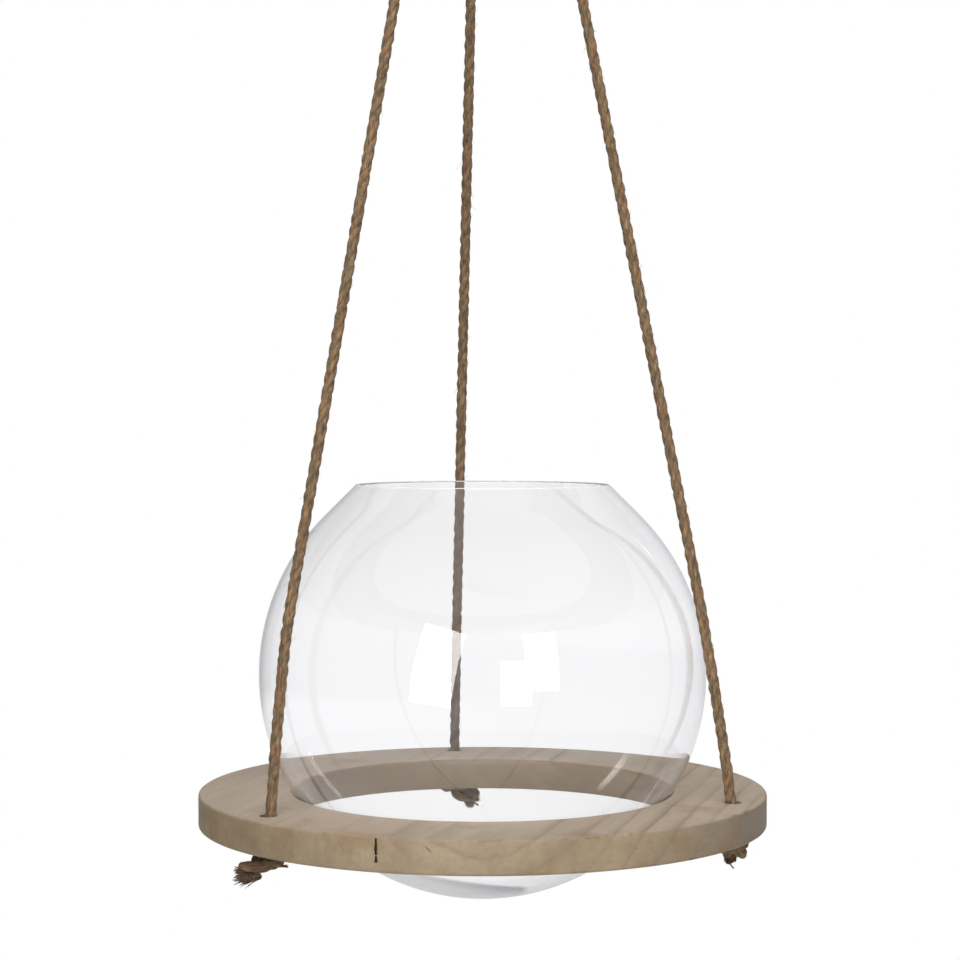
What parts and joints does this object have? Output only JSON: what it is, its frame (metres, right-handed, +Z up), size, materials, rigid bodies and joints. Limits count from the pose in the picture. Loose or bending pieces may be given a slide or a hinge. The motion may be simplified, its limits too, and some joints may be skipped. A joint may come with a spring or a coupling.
{
  "type": "hanging vase",
  "caption": "Clear round glass globe vase, open at the top, resting in the hole of a flat wooden ring that hangs on knotted jute ropes bound below a hanging loop.",
  "frame": {"origin": "hanging point: the inside of the crown of the hanging loop, where a hook would bear", "axes": "+Z up along the hanger's upright axis, +Y away from the viewer of the picture, +X to the viewer's right"},
  "size_m": [0.25, 0.25, 0.6742],
  "materials": {
    "glass": "clear, polished",
    "wood": "pale grey-brown, bare or matt",
    "jute": "twisted three-strand jute, hairy"
  },
  "bodies": {
    "loop": {"hanging_loop": "jute"},
    "wrap": {"top_wrap": "jute", "gripped_ends": "jute"},
    "hanger": {"rope_left": "jute", "rope_right": "jute", "rope_back": "jute", "stopper_knot_left": "jute", "stopper_knot_right": "jute", "stopper_knot_back": "jute", "wooden_ring": "wood"},
    "globe": {"glass_globe": "glass"}
  },
  "joints": [
    {"name": "swing_front", "type": "hinge", "parent": "loop", "child": "wrap", "pos_m": [0, 0, -0.036], "axis": [1, 0, 0], "range_deg": [-25, 25]},
    {"name": "swing_side", "type": "hinge", "parent": "wrap", "child": "hanger", "pos_m": [0, 0, -0.066], "axis": [0, 1, 0], "range_deg": [-25, 25]},
    {"name": "globe_turn", "type": "hinge", "parent": "hanger", "child": "globe", "pos_m": [0, 0, -0.57085], "axis": [0, 0, 1], "continuous": true}
  ]
}
